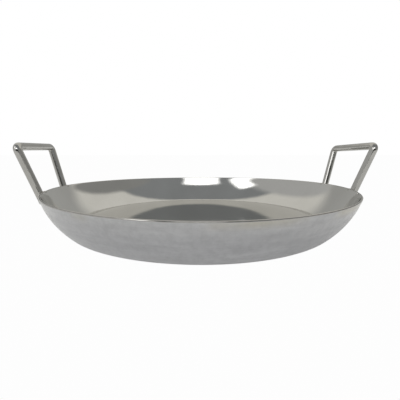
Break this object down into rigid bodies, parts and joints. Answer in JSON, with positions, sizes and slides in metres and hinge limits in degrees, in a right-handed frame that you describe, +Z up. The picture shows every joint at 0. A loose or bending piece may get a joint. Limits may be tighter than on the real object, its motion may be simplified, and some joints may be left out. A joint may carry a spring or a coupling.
{
  "type": "two-handled pan",
  "caption": "Shallow dished pan of polished sheet steel with a flared wall, and a bent rod handle welded to it on each side.",
  "frame": {"origin": "centre of the flat spot that the pan stands on, at the bottom of its bounding box", "axes": "+Z up through the mouth, +X to the right-hand handle, +Y to the back"},
  "size_m": [0.5662, 0.5074, 0.1437],
  "materials": {
    "dish_steel": "polished",
    "rod_steel": "polished",
    "weld_steel": "satin"
  },
  "bodies": {
    "root": {"pan_dish": "dish_steel", "left_handle": "rod_steel", "right_handle": "rod_steel", "left_front_weld": "weld_steel", "left_back_weld": "weld_steel", "right_front_weld": "weld_steel", "right_back_weld": "weld_steel", "left_front_rim_tack": "weld_steel", "left_back_rim_tack": "weld_steel", "right_front_rim_tack": "weld_steel", "right_back_rim_tack": "weld_steel"}
  },
  "joints": []
}
